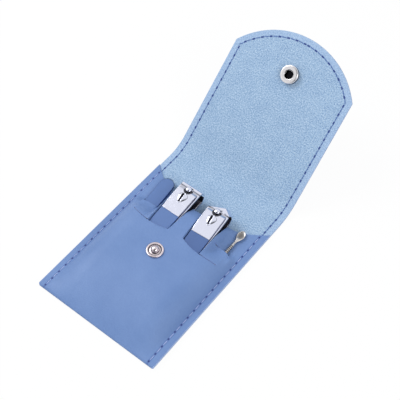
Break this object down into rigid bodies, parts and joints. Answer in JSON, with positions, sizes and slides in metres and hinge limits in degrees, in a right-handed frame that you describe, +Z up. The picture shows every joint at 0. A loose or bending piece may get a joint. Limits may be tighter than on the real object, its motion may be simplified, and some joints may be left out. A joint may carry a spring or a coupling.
{
  "type": "nail care set",
  "caption": "Leather snap pouch with a raised flap, holding a straight and a slanted nail clipper, a nail file and an ear pick, each drawn out by its own slide.",
  "frame": {"origin": "on the flat back face of the pouch, on its centre line, 54 mm above the bottom fold", "axes": "+X to the right seen from the front, +Y towards the flap, +Z up out of the pocket front"},
  "size_m": [0.078, 0.186, 0.0603],
  "materials": {
    "skin": "smooth, semi-matt, periwinkle blue",
    "lining": "flocked suede, light blue",
    "thread": "twisted thread",
    "snap_metal": "polished nickel",
    "spring_wire": "drawn wire",
    "clipper_steel": "polished",
    "coat": "satin blue coat",
    "file_steel": "cross cut",
    "handle_plastic": "satin blue",
    "pick_steel": "satin"
  },
  "bodies": {
    "pouch": {"back_skin": "skin", "back_lining": "lining", "pocket_skin": "skin", "pocket_lining": "lining", "pocket_stitches": "thread", "snap_stud": "snap_metal", "stud_rivet": "snap_metal"},
    "spine": {"spine_skin": "skin", "spine_lining": "lining", "spine_stitches": "thread"},
    "flap": {"flap_skin": "skin", "flap_lining": "lining", "flap_stitches": "thread", "snap_socket": "snap_metal", "socket_spring": "spring_wire", "snap_cap": "snap_metal"},
    "straight_clipper": {"straight_lower_jaw": "clipper_steel", "straight_tail_rivet": "clipper_steel", "straight_pin": "clipper_steel"},
    "straight_clipper_upper_jaw": {"straight_upper_jaw": "clipper_steel"},
    "straight_clipper_lever": {"straight_lever": "clipper_steel", "straight_lever_grip": "coat"},
    "slant_clipper": {"slant_lower_jaw": "clipper_steel", "slant_tail_rivet": "clipper_steel", "slant_pin": "clipper_steel"},
    "slant_clipper_upper_jaw": {"slant_upper_jaw": "clipper_steel"},
    "slant_clipper_lever": {"slant_lever": "clipper_steel", "slant_lever_grip": "coat"},
    "nail_file": {"file_blade": "file_steel", "file_handle": "handle_plastic"},
    "ear_pick": {"ear_pick": "pick_steel"}
  },
  "joints": [
    {"name": "spine_fold", "type": "hinge", "parent": "pouch", "child": "spine", "pos_m": [0, 0.0546, 0.0012], "axis": [-1, 0, 0], "range_deg": [-69.5, 19.5]},
    {"name": "flap_fold", "type": "hinge", "parent": "spine", "child": "flap", "pos_m": [0, 0.06771, 0.0061], "axis": [-1, 0, 0], "range_deg": [-69.5, 19.5]},
    {"name": "straight_clipper_draw", "type": "slide", "parent": "pouch", "child": "straight_clipper", "axis": [0, 0.9917, 0.1283], "range_m": [0, 0.028]},
    {"name": "straight_jaw_squeeze", "type": "hinge", "parent": "straight_clipper", "child": "straight_clipper_upper_jaw", "pos_m": [-0.00971, -0.012, 0.0041], "axis": [1, 0, 0], "range_deg": [-2.1, 0], "stiffness_Nm_per_rad": 0.06, "springref_deg": 6.88},
    {"name": "straight_lever_swivel", "type": "hinge", "parent": "straight_clipper", "child": "straight_clipper_lever", "pos_m": [-0.00971, 0.035, 0.008], "axis": [0, 0, 1], "range_deg": [-12, 0]},
    {"name": "slant_clipper_draw", "type": "slide", "parent": "pouch", "child": "slant_clipper", "axis": [-0.0605, 0.9899, 0.1283], "range_m": [0, 0.028]},
    {"name": "slant_jaw_squeeze", "type": "hinge", "parent": "slant_clipper", "child": "slant_clipper_upper_jaw", "pos_m": [0.01426, -0.01371, 0.0041], "axis": [0.9981, 0.061, 0], "range_deg": [-2.1, 0], "stiffness_Nm_per_rad": 0.06, "springref_deg": 6.88},
    {"name": "slant_lever_swivel", "type": "hinge", "parent": "slant_clipper", "child": "slant_clipper_lever", "pos_m": [0.01139, 0.0332, 0.008], "axis": [0, 0, 1], "range_deg": [0, 10]},
    {"name": "nail_file_draw", "type": "slide", "parent": "pouch", "child": "nail_file", "axis": [-0.0872, 0.9962, 0], "range_m": [0, 0.022]},
    {"name": "ear_pick_draw", "type": "slide", "parent": "pouch", "child": "ear_pick", "axis": [0, 1, 0], "range_m": [0, 0.022]}
  ],
  "couplings": [
    {"joint": "flap_fold", "follows": "spine_fold", "ratio": 1}
  ]
}
